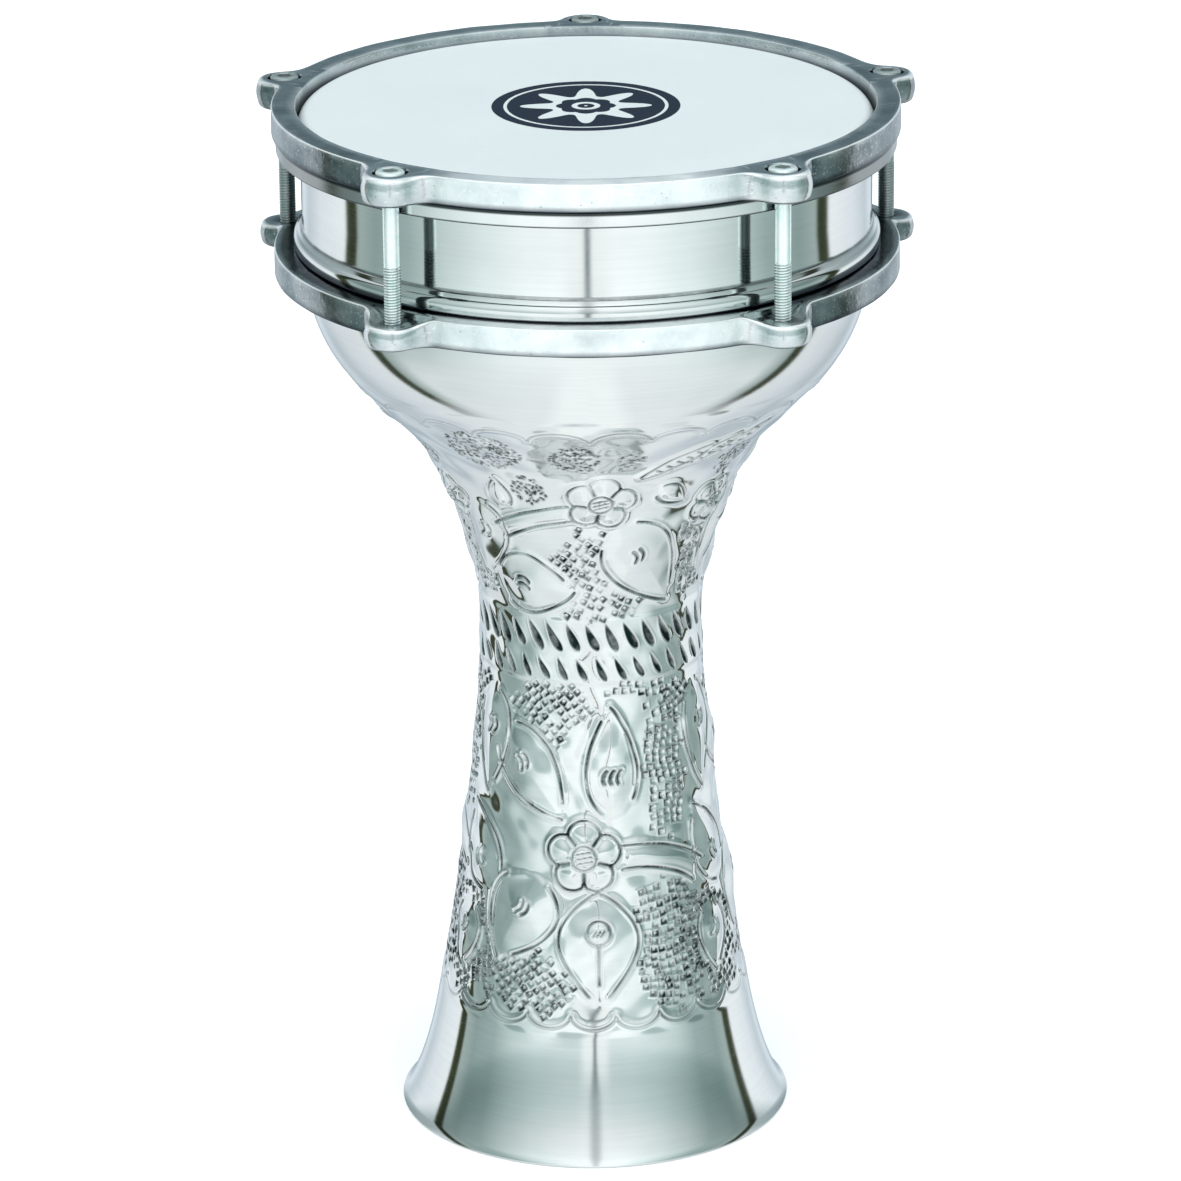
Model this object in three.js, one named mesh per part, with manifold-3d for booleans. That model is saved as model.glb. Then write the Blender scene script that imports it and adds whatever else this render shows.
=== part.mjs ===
// A darbuka: a goblet drum with a spun aluminium shell, and a plastic head pulled down over its bearing edge
// by two cast rings and five long screws.
// Millimetres, +Z up. The origin is on the floor, at the centre of the open foot.
import * as THREE from "three";
import { mergeVertices } from "three/addons/utils/BufferGeometryUtils.js";
import Module from "manifold-3d";

const wasm = await Module();
wasm.setup();

// ---------------------------------------------------------------- driving dimensions
const FACETS = 48; // round the drum
const RUNNING_GAP = 0.2; // between faces that touch on the real drum

// Shell
const FOOT_R = 70.5;
const FOOT_TURN_Z = 40; // where the foot's flare meets the tapered stem
const FOOT_TURN_R = 57;
const WAIST_R = 39.7;
const WAIST_Z = 187;
const THROAT_R = 65.2; // where the hollow throat turns into the round bowl
const THROAT_Z = 260;
const BOWL_R = 99.4;
const BOWL_TOP_Z = 318;
const SHOULDER_R = 103; // the rolled shoulder that the lower ring pulls up against
const SHOULDER_BASE_Z = 326.2;
const SHOULDER_TOP_Z = 333.4;
const COLLAR_R = 100;
const SHELL_WALL = 2.2;
const EDGE_ROLL_R = 4.3; // outer radius of the rolled bearing edge
const EDGE_ROLL_Z = 369.1; // height of that roll's centre

// Head
const FILM = 0.5;
const COLLAR_SLOPE = THREE.MathUtils.degToRad(25); // the film's collar, from the vertical
const FILM_END_Z = 364.6;
const CHANNEL_OUTER_R = 108.5;
const CHANNEL_INNER_R = 101.2;
const CHANNEL_BASE_Z = 360.9;
const CHANNEL_TOP_Z = 366.5;
const CHANNEL_LIP_Z = 365; // the inner wall is lower, so that the film passes over it
const CHANNEL_WALL = 1;
const RESIN_TOP_Z = 364.3;

// Cast rings
const RING_R = 110;
const UPPER_RING_BORE_R = 101.3;
const UPPER_RING_BASE_Z = 366.7;
const UPPER_RING_TOP_Z = 376.5;
const HEAD_RELIEF_R = 105.2; // the step under the upper ring that clears the head's collar
const HEAD_RELIEF_Z = 369.6;
const LOWER_RING_BORE_R = 100.2;
const LOWER_RING_BASE_Z = 316.1;
const LOWER_RING_TOP_Z = 326;
const LOWER_LUG_TOP_Z = 324;
const LUG_COUNT = 5;
const FIRST_LUG = Math.PI / 2; // one lug points away from the player
const LUG_CIRCLE_R = 112.1;
const LUG_R = 9.6;
const LUG_FILLET_R = 9;

// M6 socket-head tension screws
const SCREW_R = 3;
const SCREW_HEAD_R = 5.05;
const SCREW_HEAD_H = 6;
const SCREW_LENGTH = 55; // under the head
const HEAD_SEAT_Z = 371;
const HEAD_CHAMFER = 0.8;
const SOCKET_R = 2.9; // across the corners of a 5 mm hexagon
const SOCKET_DEPTH = 3;
const SCREW_HOLE_R = 3.6;
const COUNTERBORE_R = 5.95;

// ---------------------------------------------------------------- shape helpers
const point = (r, z) => new THREE.Vector2(r, z);

// Points on an arc, both ends included.
function arc(centreX, centreY, radius, from, to, steps) {
  const points = [];
  for (let i = 0; i <= steps; i++) {
    const a = from + ((to - from) * i) / steps;
    points.push(new THREE.Vector2(centreX + radius * Math.cos(a), centreY + radius * Math.sin(a)));
  }
  return points;
}

function bezier(start, control1, control2, end, steps) {
  return new THREE.CubicBezierCurve(start, control1, control2, end).getPoints(steps);
}

// A closed (r, z) outline, anticlockwise, turned about the drum's axis.
function turned(outline, facets = FACETS) {
  const geometry = new THREE.LatheGeometry([...outline, outline[0]], facets);
  return geometry.rotateX(Math.PI / 2);
}

function ring(innerR, outerR, lowZ, highZ) {
  return turned([point(innerR, lowZ), point(outerR, lowZ), point(outerR, highZ), point(innerR, highZ)]);
}

// An upright round bar centred on the axis.
function rod(radius, lowZ, highZ, facets) {
  const bar = new THREE.CylinderGeometry(radius, radius, highZ - lowZ, facets);
  return bar.rotateX(Math.PI / 2).translate(0, 0, (lowZ + highZ) / 2);
}

function solid(geometry) {
  const bare = geometry.clone();
  bare.deleteAttribute("normal");
  bare.deleteAttribute("uv");
  const merged = mergeVertices(bare, 1e-3);
  return new wasm.Manifold(
    new wasm.Mesh({
      numProp: 3,
      vertProperties: merged.attributes.position.array,
      triVerts: new Uint32Array(merged.index.array),
    }),
  );
}

function geometryOf(manifold) {
  const mesh = manifold.getMesh();
  const geometry = new THREE.BufferGeometry();
  geometry.setAttribute("position", new THREE.BufferAttribute(mesh.vertProperties, 3));
  geometry.setIndex(new THREE.BufferAttribute(mesh.triVerts, 1));
  return geometry;
}

// The two ends of a thickness laid off square to a curve, on its left side.
function offsetCurve(points, distance) {
  return points.map((p, i) => {
    const before = points[Math.max(i - 1, 0)];
    const after = points[Math.min(i + 1, points.length - 1)];
    const along = after.clone().sub(before).normalize();
    return new THREE.Vector2(p.x - along.y * distance, p.y + along.x * distance);
  });
}

// ---------------------------------------------------------------- materials
const polishedAluminium = new THREE.MeshStandardMaterial({ color: 0xdfe3e4, roughness: 0.16, metalness: 1 });
const castAluminium = new THREE.MeshStandardMaterial({ color: 0xaeb5b8, roughness: 0.38, metalness: 1 });
const drawnAluminium = new THREE.MeshStandardMaterial({ color: 0xc4cac9, roughness: 0.28, metalness: 1 });
const zincSteel = new THREE.MeshStandardMaterial({ color: 0xc3d2d1, roughness: 0.25, metalness: 1 });
const headFilm = new THREE.MeshStandardMaterial({ color: 0xe6eaee, roughness: 0.35, metalness: 0 });
const castResin = new THREE.MeshStandardMaterial({ color: 0xd8d2bd, roughness: 0.5, metalness: 0 });

// ---------------------------------------------------------------- shell
// The outside from the foot's edge to the foot of the collar.
function bodyOutline() {
  const foot = bezier(
    point(FOOT_R, 0),
    point(FOOT_R - 5.6, 7),
    point(FOOT_TURN_R + 3, FOOT_TURN_Z - 17),
    point(FOOT_TURN_R, FOOT_TURN_Z),
    6,
  );
  const stem = bezier(
    point(FOOT_TURN_R, FOOT_TURN_Z),
    point(FOOT_TURN_R - 7.5, FOOT_TURN_Z + 42),
    point(WAIST_R + 1, WAIST_Z - 42),
    point(WAIST_R, WAIST_Z),
    6,
  );
  const throat = bezier(
    point(WAIST_R, WAIST_Z),
    point(WAIST_R - 0.4, WAIST_Z + 22),
    point(THROAT_R - 14.5, THROAT_Z - 16.5),
    point(THROAT_R, THROAT_Z),
    7,
  );
  const bowl = bezier(
    point(THROAT_R, THROAT_Z),
    point(THROAT_R + 16.5, THROAT_Z + 17.5),
    point(BOWL_R - 1.6, BOWL_TOP_Z - 29),
    point(BOWL_R, BOWL_TOP_Z),
    6,
  );
  return [...foot, ...stem.slice(1), ...throat.slice(1), ...bowl.slice(1)];
}

function shellGeometry() {
  const body = bodyOutline();
  const shoulder = [
    point(BOWL_R, SHOULDER_BASE_Z),
    point(SHOULDER_R, SHOULDER_BASE_Z),
    point(SHOULDER_R, SHOULDER_BASE_Z + 3),
    point(COLLAR_R + 1.6, SHOULDER_TOP_Z - 1.6),
    point(COLLAR_R, SHOULDER_TOP_Z),
  ];
  const rollR = COLLAR_R - EDGE_ROLL_R;
  const rollEnd = THREE.MathUtils.degToRad(125); // the edge is rolled over to face the inside
  const edgeOutside = arc(rollR, EDGE_ROLL_Z, EDGE_ROLL_R, 0, rollEnd, 5);
  const edgeInside = arc(rollR, EDGE_ROLL_Z, EDGE_ROLL_R - SHELL_WALL, rollEnd, 0, 4);
  const innerShoulder = [
    point(COLLAR_R - SHELL_WALL, SHOULDER_TOP_Z),
    point(BOWL_R - SHELL_WALL, SHOULDER_BASE_Z - 3),
  ];
  // The inside of the body, from the bowl down, with a flat seat where it meets the floor.
  const inside = offsetCurve(body, SHELL_WALL).reverse();
  const seat = inside.pop();
  inside.push(point(seat.x, 0));
  return turned([...body, ...shoulder, ...edgeOutside, ...edgeInside, ...innerShoulder, ...inside]);
}

// ---------------------------------------------------------------- head: film, channel and resin
// The film's section: flat over the drum, round the bearing edge, and straight down its collar.
function filmSide(radius) {
  const rollR = COLLAR_R - EDGE_ROLL_R;
  const over = arc(rollR, EDGE_ROLL_Z, radius, Math.PI / 2, COLLAR_SLOPE, 5);
  const last = over[over.length - 1];
  const end = point(last.x + (last.y - FILM_END_Z) * Math.tan(COLLAR_SLOPE), FILM_END_Z);
  return [...over, end];
}

function filmGeometry() {
  const underR = EDGE_ROLL_R + RUNNING_GAP / 2;
  const top = filmSide(underR + FILM);
  const under = filmSide(underR);
  const topZ = EDGE_ROLL_Z + underR + FILM;
  const outline = [point(0, topZ - FILM), ...under, ...top.reverse(), point(0, topZ)];
  return new THREE.LatheGeometry(outline, FACETS).rotateX(Math.PI / 2);
}

function channelGeometry() {
  const floorZ = CHANNEL_BASE_Z + CHANNEL_WALL;
  return turned([
    point(CHANNEL_INNER_R, CHANNEL_BASE_Z),
    point(CHANNEL_OUTER_R, CHANNEL_BASE_Z),
    point(CHANNEL_OUTER_R, CHANNEL_TOP_Z),
    point(CHANNEL_OUTER_R - CHANNEL_WALL, CHANNEL_TOP_Z),
    point(CHANNEL_OUTER_R - CHANNEL_WALL, floorZ),
    point(CHANNEL_INNER_R + CHANNEL_WALL, floorZ),
    point(CHANNEL_INNER_R + CHANNEL_WALL, CHANNEL_LIP_Z),
    point(CHANNEL_INNER_R, CHANNEL_LIP_Z),
  ]);
}

function resinGeometry() {
  const inner = CHANNEL_INNER_R + CHANNEL_WALL + RUNNING_GAP;
  const outer = CHANNEL_OUTER_R - CHANNEL_WALL - RUNNING_GAP;
  return ring(inner, outer, CHANNEL_BASE_Z + CHANNEL_WALL + RUNNING_GAP, RESIN_TOP_Z);
}

// ---------------------------------------------------------------- cast rings
const lugAngle = (index) => FIRST_LUG + (index * 2 * Math.PI) / LUG_COUNT;

// Outline of a ring with five round lugs, each blended into the ring by a fillet on either side.
function luggedOutline() {
  const toFillet = RING_R + LUG_FILLET_R;
  const lugToFillet = LUG_R + LUG_FILLET_R;
  const spread = Math.acos(
    (toFillet ** 2 + LUG_CIRCLE_R ** 2 - lugToFillet ** 2) / (2 * toFillet * LUG_CIRCLE_R),
  );
  const points = [];
  for (let i = 0; i < LUG_COUNT; i++) {
    const along = lugAngle(i);
    const lugX = LUG_CIRCLE_R * Math.cos(along);
    const lugY = LUG_CIRCLE_R * Math.sin(along);
    const fillet = (side) => {
      const a = along + side * spread;
      const x = toFillet * Math.cos(a);
      const y = toFillet * Math.sin(a);
      return { x, y, ring: a + Math.PI, lug: Math.atan2(lugY - y, lugX - x) };
    };
    const before = fillet(-1);
    const after = fillet(1);
    const turn = Math.atan2(Math.sin(before.ring - before.lug), Math.cos(before.ring - before.lug));
    const open = Math.PI - Math.abs(turn) + spread; // half of the lug's own arc
    points.push(...arc(before.x, before.y, LUG_FILLET_R, before.ring, before.ring - turn, 3));
    points.push(...arc(lugX, lugY, LUG_R, along - open, along + open, 8).slice(1, -1));
    points.push(...arc(after.x, after.y, LUG_FILLET_R, after.ring + turn, after.ring, 3));
    const next = lugAngle(i + 1) - spread;
    points.push(...arc(0, 0, RING_R, along + spread, next, 9).slice(1, -1));
  }
  return points;
}

function luggedRing(boreR, lowZ, highZ) {
  const shape = new THREE.Shape(luggedOutline());
  shape.holes.push(new THREE.Path(arc(0, 0, boreR, 0, 2 * Math.PI, FACETS).slice(0, -1)));
  const body = new THREE.ExtrudeGeometry(shape, { depth: highZ - lowZ, bevelEnabled: false });
  return solid(body.translate(0, 0, lowZ));
}

// Cuts the same upright hole at every lug.
function drilled(body, radius, lowZ, highZ, facets, circleR = LUG_CIRCLE_R) {
  let cut = body;
  for (let i = 0; i < LUG_COUNT; i++) {
    const x = circleR * Math.cos(lugAngle(i));
    const y = circleR * Math.sin(lugAngle(i));
    cut = cut.subtract(solid(rod(radius, lowZ, highZ, facets).translate(x, y, 0)));
  }
  return cut;
}

function upperRingGeometry() {
  const blank = luggedRing(UPPER_RING_BORE_R, UPPER_RING_BASE_Z, UPPER_RING_TOP_Z);
  const relief = ring(UPPER_RING_BORE_R - 1, HEAD_RELIEF_R, UPPER_RING_BASE_Z - 1, HEAD_RELIEF_Z);
  const relieved = blank.subtract(solid(relief));
  const holed = drilled(relieved, SCREW_HOLE_R, UPPER_RING_BASE_Z - 1, UPPER_RING_TOP_Z + 1, 12);
  return geometryOf(drilled(holed, COUNTERBORE_R, HEAD_SEAT_Z - RUNNING_GAP, UPPER_RING_TOP_Z + 1, 18));
}

function lowerRingGeometry() {
  const blank = luggedRing(LOWER_RING_BORE_R, LOWER_RING_BASE_Z, LOWER_RING_TOP_Z);
  const holed = drilled(blank, SCREW_HOLE_R, LOWER_RING_BASE_Z - 1, LOWER_RING_TOP_Z + 1, 12);
  // Each lug's top face is stepped down from the ring's.
  const stepR = LUG_R + 0.8;
  const stepCircleR = LUG_CIRCLE_R + 3.2;
  return geometryOf(drilled(holed, stepR, LOWER_LUG_TOP_Z, LOWER_RING_TOP_Z + 1, 24, stepCircleR));
}

// ---------------------------------------------------------------- tension screw
function screwGeometry() {
  const topZ = HEAD_SEAT_Z + SCREW_HEAD_H;
  const tipZ = HEAD_SEAT_Z - SCREW_LENGTH;
  const outline = [
    point(0, tipZ),
    point(SCREW_R - 0.9, tipZ),
    point(SCREW_R, tipZ + 0.9),
    point(SCREW_R, HEAD_SEAT_Z),
    point(SCREW_HEAD_R, HEAD_SEAT_Z),
    point(SCREW_HEAD_R, topZ - HEAD_CHAMFER),
    point(SCREW_HEAD_R - HEAD_CHAMFER, topZ),
    point(0, topZ),
  ];
  const blank = new THREE.LatheGeometry(outline, 18).rotateX(Math.PI / 2);
  const socket = rod(SOCKET_R, topZ - SOCKET_DEPTH, topZ + 1, 6);
  return geometryOf(solid(blank).subtract(solid(socket)));
}

// ---------------------------------------------------------------- assembly
const darbuka = new THREE.Group();

function add(name, geometry, material, parent = darbuka) {
  const mesh = new THREE.Mesh(geometry, material);
  mesh.name = name;
  parent.add(mesh);
  return mesh;
}

add("shell", shellGeometry(), polishedAluminium);
add("lower_ring", lowerRingGeometry(), castAluminium);
add("head_film", filmGeometry(), headFilm);

const tensioned = new THREE.Group();
darbuka.add(tensioned);
add("upper_ring", upperRingGeometry(), castAluminium, tensioned);
add("head_channel", channelGeometry(), drawnAluminium, tensioned);
add("head_resin", resinGeometry(), castResin, tensioned);

const screw = screwGeometry();
for (let i = 0; i < LUG_COUNT; i++) {
  const placed = add(`tension_screw_${i + 1}`, screw, zincSteel, tensioned);
  placed.position.set(LUG_CIRCLE_R * Math.cos(lugAngle(i)), LUG_CIRCLE_R * Math.sin(lugAngle(i)), 0);
}

export default darbuka;
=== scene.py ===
"""A darbuka: spun and chased aluminium shell, cast tension rings, plastic head and five long screws.

Metres, +Z up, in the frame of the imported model. Angles round the drum are counted from its front, which
faces -Y, towards +X.
"""

import math
import random

import bpy
import numpy as np
from mathutils import Matrix, Vector, noise


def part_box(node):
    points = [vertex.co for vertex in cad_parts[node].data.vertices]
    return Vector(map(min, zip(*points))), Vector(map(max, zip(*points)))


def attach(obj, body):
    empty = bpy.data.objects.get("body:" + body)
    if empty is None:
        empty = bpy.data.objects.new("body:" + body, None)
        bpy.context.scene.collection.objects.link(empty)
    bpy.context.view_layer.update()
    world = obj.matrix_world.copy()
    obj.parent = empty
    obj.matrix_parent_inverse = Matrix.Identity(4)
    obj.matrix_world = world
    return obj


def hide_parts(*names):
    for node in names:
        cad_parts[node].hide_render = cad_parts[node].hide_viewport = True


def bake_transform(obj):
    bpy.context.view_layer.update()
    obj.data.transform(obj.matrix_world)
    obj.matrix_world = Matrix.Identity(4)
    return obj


MM = 0.001
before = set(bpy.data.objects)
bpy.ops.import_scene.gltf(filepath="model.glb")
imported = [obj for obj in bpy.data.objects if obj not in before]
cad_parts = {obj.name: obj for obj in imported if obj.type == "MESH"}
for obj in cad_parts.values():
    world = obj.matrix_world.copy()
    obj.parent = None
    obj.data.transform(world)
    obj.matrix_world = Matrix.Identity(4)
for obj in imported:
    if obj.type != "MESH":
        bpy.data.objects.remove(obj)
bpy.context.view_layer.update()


# ---------------- sizes that come from the frame
def box_mm(node):
    low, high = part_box(node)
    return low / MM, high / MM


SHELL_LOW, SHELL_HIGH = box_mm("shell")
UPPER_LOW, UPPER_HIGH = box_mm("upper_ring")
LOWER_LOW, LOWER_HIGH = box_mm("lower_ring")
CHANNEL_LOW, CHANNEL_HIGH = box_mm("head_channel")
FILM_LOW, FILM_HIGH = box_mm("head_film")
RESIN_LOW, RESIN_HIGH = box_mm("head_resin")
SCREW_LOW, SCREW_HIGH = box_mm("tension_screw_1")

# ---------------- sizes of the fine shapes, in millimetres
FOOT_R = 70.5
FOOT_TURN_Z, FOOT_TURN_R = 40, 57
WAIST_Z, WAIST_R = 187, 39.7
THROAT_Z, THROAT_R = 260, 65.2
BOWL_TOP_Z, BOWL_R = 318, 99.4
SHOULDER_R = SHELL_HIGH.x
SHOULDER_BASE_Z, SHOULDER_TOP_Z = 326.2, 333.4
COLLAR_R = 100
WALL = 2.2
EDGE_ROLL_R = 4.3
EDGE_ROLL_Z = SHELL_HIGH.z - EDGE_ROLL_R

RING_R = -UPPER_LOW.y
LUG_CIRCLE_R = 112.1
LUG_R = 9.6
LUG_FILLET_R = 9
LUG_COUNT = 5
FIRST_LUG = 180  # degrees from the front: one lug points straight back
UPPER_BORE_R = 101.3
LOWER_BORE_R = 100.2
RELIEF_R, RELIEF_Z = 105.2, 369.6  # the step under the upper ring, over the head's channel

FILM = 0.5
COLLAR_SLOPE = math.radians(25)
EMBLEM_R = 33
SCREW_HEAD_R, SCREW_HEAD_H = 5.05, 6


def smooth(t):
    t = np.clip(t, 0, 1)
    return t * t * (3 - 2 * t)


def turns(columns):
    """The angles of so many columns round the drum."""
    return np.arange(columns) * 2 * math.pi / columns


# ---------------- mesh helpers
def new_object(name, data):
    obj = bpy.data.objects.new(name, data)
    bpy.context.scene.collection.objects.link(obj)
    return obj


def mesh_object(name, vertices_mm, faces):
    mesh = bpy.data.meshes.new(name)
    mesh.from_pydata((np.asarray(vertices_mm) * MM).tolist(), [], faces)
    mesh.validate()
    mesh.polygons.foreach_set("use_smooth", [True] * len(mesh.polygons))
    return new_object(name, mesh)


def grid_faces(rows, columns, close_rows):
    """Quads of a grid whose columns close on themselves, and whose rows do too if asked."""
    last = rows if close_rows else rows - 1
    i, j = np.meshgrid(np.arange(last), np.arange(columns), indexing="ij")
    below = i * columns
    above = ((i + 1) % rows) * columns
    right = (j + 1) % columns
    quads = np.stack([below + j, below + right, above + right, above + j], -1)
    return quads.reshape(-1, 4).tolist()


def around(radius, height, angles):
    """Points at those radii, heights and angles from the front."""
    return np.stack([radius * np.sin(angles), -radius * np.cos(angles), height + 0 * angles], -1)


def lathe(name, outline, columns):
    """A closed (r, z) outline, anticlockwise, turned about the drum's axis."""
    outline = np.asarray(outline, float)
    grid = around(outline[:, :1], outline[:, 1:], turns(columns)[None, :])
    return mesh_object(name, grid.reshape(-1, 3), grid_faces(len(outline), columns, True))


def arc(centre_r, centre_z, radius, start, end, steps):
    a = np.radians(np.linspace(start, end, steps + 1))
    return [(centre_r + radius * math.cos(t), centre_z + radius * math.sin(t)) for t in a]


def bezier(start, control1, control2, end, steps):
    t = np.linspace(0, 1, steps + 1)[:, None]
    a, b, c, d = (np.array(p, float) for p in (start, control1, control2, end))
    return (1 - t) ** 3 * a + 3 * (1 - t) ** 2 * t * b + 3 * (1 - t) * t**2 * c + t**3 * d


def offset_curve(points, distance):
    """The curve moved to its left by a distance, which may be one for each point."""
    along = np.gradient(points, axis=0)
    along /= np.linalg.norm(along, axis=1)[:, None]
    return points + np.stack([-along[:, 1], along[:, 0]], -1) * distance


def sharpen(obj, degrees):
    """Smooth shading, with the edges sharper than that angle left crisp."""
    with bpy.context.temp_override(object=obj, active_object=obj, selected_editable_objects=[obj]):
        bpy.ops.object.shade_smooth_by_angle(angle=math.radians(degrees))
    return obj


def cut(obj, cutter):
    """Takes the cutter's solid out of the object's mesh."""
    modifier = obj.modifiers.new("cut", "BOOLEAN")
    modifier.operation = "DIFFERENCE"
    modifier.solver = "MANIFOLD"
    modifier.object = cutter
    graph = bpy.context.evaluated_depsgraph_get()
    mesh = bpy.data.meshes.new_from_object(obj.evaluated_get(graph))
    obj.modifiers.clear()
    obj.data = mesh
    bpy.data.objects.remove(cutter)


def vertices_mm(obj):
    flat = np.empty(3 * len(obj.data.vertices), np.float32)
    obj.data.vertices.foreach_get("co", flat)
    return flat.reshape(-1, 3) / MM


def off_axis(p):
    """Distance of each point from the drum's axis."""
    return np.hypot(p[:, 0], p[:, 1])


def off_front(p):
    """Each point's angle from the front, to either side."""
    return np.abs(np.arctan2(p[:, 0], -p[:, 1]))


def paint(obj, name, values):
    """A number for each vertex (0 to 1), which the material reads by name."""
    layer = obj.data.attributes.new(name, "FLOAT", "POINT")
    layer.data.foreach_set("value", np.clip(values, 0, 1).astype(np.float32).ravel())


def turned_tool(outline, columns):
    """A solid of revolution about its own axis, whose (r, z) outline starts and ends on the axis."""
    outline = np.asarray(outline, float)
    grid = around(outline[1:-1, :1], outline[1:-1, 1:], turns(columns)[None, :]).reshape(-1, 3)
    rows = len(outline) - 2
    faces = grid_faces(rows, columns, False)
    bottom, top = len(grid), len(grid) + 1
    points = np.vstack([grid, [[0, 0, outline[0, 1]], [0, 0, outline[-1, 1]]]])
    last = (rows - 1) * columns
    for j in range(columns):
        k = (j + 1) % columns
        faces.append((bottom, k, j))
        faces.append((top, last + j, last + k))
    return points, faces


# ---------------- material helpers
def opaque(colour):
    """A plain colour with the alpha that its socket needs. Sockets pass through."""
    return (*colour, 1) if isinstance(colour, tuple) else colour


class Nodes:
    """A short way to write a node tree."""

    def __init__(self, tree):
        self.tree = tree
        self.tree.nodes.clear()

    def feed(self, node, inputs):
        """Links each input to the socket given for it, or sets it to the plain value given."""
        for key, value in inputs.items():
            if isinstance(value, bpy.types.NodeSocket):
                self.tree.links.new(value, node.inputs[key])
            else:
                node.inputs[key].default_value = value

    def add(self, kind, inputs=None, **settings):
        node = self.tree.nodes.new(kind)
        for key, value in settings.items():
            setattr(node, key, value)
        self.feed(node, inputs or {})
        return node

    def math(self, operation, a, b=0.0):
        return self.add("ShaderNodeMath", {0: a, 1: b}, operation=operation).outputs[0]

    def product(self, a, b):
        return self.math("MULTIPLY", a, b)

    def noise(self, vector, scale, detail=3.0, roughness=0.5):
        inputs = {"Vector": vector, "Scale": scale, "Detail": detail, "Roughness": roughness}
        return self.add("ShaderNodeTexNoise", inputs).outputs["Fac"]

    def stretched(self, vector, scale):
        return self.add("ShaderNodeMapping", {"Vector": vector, "Scale": scale}).outputs[0]

    def parts(self, vector):
        return self.add("ShaderNodeSeparateXYZ", {0: vector}).outputs

    def attribute(self, name):
        return self.add("ShaderNodeAttribute", attribute_name=name).outputs["Fac"]

    def ramp(self, factor, stops):
        node = self.add("ShaderNodeValToRGB", {"Fac": factor})
        elements = node.color_ramp.elements
        while len(elements) < len(stops):
            elements.new(0.5)
        for element, (position, colour) in zip(elements, stops):
            element.position = position
            element.color = opaque(colour)
        return node.outputs["Color"]

    def range(self, value, low, high, to_low, to_high):
        inputs = {"Value": value, 1: low, 2: high, 3: to_low, 4: to_high}
        return self.add("ShaderNodeMapRange", inputs).outputs["Result"]

    def spread(self, noise, to_low, to_high):
        """Noise, which mostly lies between 0.3 and 0.7, spread over another range."""
        return self.range(noise, 0.3, 0.7, to_low, to_high)

    def tones(self, noise, dark, light):
        """Noise spread over two colours."""
        return self.ramp(noise, [(0.3, dark), (0.7, light)])

    def mix(self, factor, a, b, blend="MIX"):
        inputs = {0: factor, 6: opaque(a), 7: opaque(b)}
        return self.add("ShaderNodeMix", inputs, data_type="RGBA", blend_type=blend).outputs[2]

    def bump(self, height, strength, distance, normal=None):
        inputs = {"Height": height, "Strength": strength, "Distance": distance}
        if normal is not None:
            inputs["Normal"] = normal
        return self.add("ShaderNodeBump", inputs).outputs["Normal"]


def new_material(surface):
    """A material named after its surface function, which says what each of the shader's inputs gets."""
    material = bpy.data.materials.new(surface.__name__)
    material.use_nodes = True
    nodes = Nodes(material.node_tree)
    shader = nodes.add("ShaderNodeBsdfPrincipled")
    nodes.add("ShaderNodeOutputMaterial", {0: shader.outputs[0]})
    position = nodes.add("ShaderNodeTexCoord").outputs["Object"]
    nodes.feed(shader, surface(nodes, position))
    return material


def grey(value, tint=(1, 1, 1)):
    return tuple(value * t for t in tint)


def turning(nodes, position):
    """Coordinates for tool marks that run round the drum: (angle, height, distance from the origin)."""
    parts = nodes.parts(position)
    angle = nodes.math("ARCTAN2", parts[0], parts[1])
    radius = nodes.add("ShaderNodeVectorMath", {0: position}, operation="LENGTH").outputs["Value"]
    return nodes.add("ShaderNodeCombineXYZ", {0: angle, 1: parts[2], 2: radius}).outputs[0]


# ---------------- materials
COOL = (0.985, 1.0, 1.0)  # the slightly green cast of the polished metal
# Painted shade in the shell's chased recesses and corners and in the channel's corners
PAINTED_SHADE_COLOUR = (0.012, 0.026, 0.027)
WORN_COLOUR = (0.93, 0.96, 0.97)  # of the bright worn places on a casting


def polished_aluminium(nodes, position):
    """Spun and buffed sheet: fine tool marks round the drum, soft smears, and painted shade, with dark
    patina, in the chased recesses and the shoulder's corners.
    """
    turned = turning(nodes, position)
    marks = nodes.noise(nodes.stretched(turned, (1.2, 2600, 0)), 1, 4, 0.65)
    bands = nodes.noise(nodes.stretched(turned, (0.9, 620, 0)), 1, 5, 0.7)
    smears = nodes.noise(position, 14, 4, 0.6)
    # Some strokes are nearly black, and others faint
    patches = nodes.range(nodes.noise(position, 130), 0.34, 0.56, 0.6, 1)
    # Painted shade, with dark patina, from the recess layer
    recess_shade = nodes.product(nodes.attribute("recess"), patches)
    clean = nodes.ramp(smears, [(0.3, grey(0.80, COOL)), (0.75, grey(0.90, COOL))])
    streaks = nodes.range(bands, 0.35, 0.65, 0.10, 0)
    brushed = nodes.mix(streaks, clean, (0.42, 0.50, 0.50))
    rough = nodes.math("ADD", nodes.spread(marks, 0.05, 0.09), nodes.range(smears, 0.35, 0.75, 0, 0.04))
    fine_marks = nodes.bump(marks, 0.07, 0.00003)
    return {
        "Base Color": nodes.mix(recess_shade, brushed, PAINTED_SHADE_COLOUR),
        "Roughness": nodes.math("ADD", rough, nodes.product(recess_shade, 0.25)),
        "Normal": nodes.bump(bands, 0.02, 0.00005, fine_marks),
        "Metallic": 1,
    }


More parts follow.
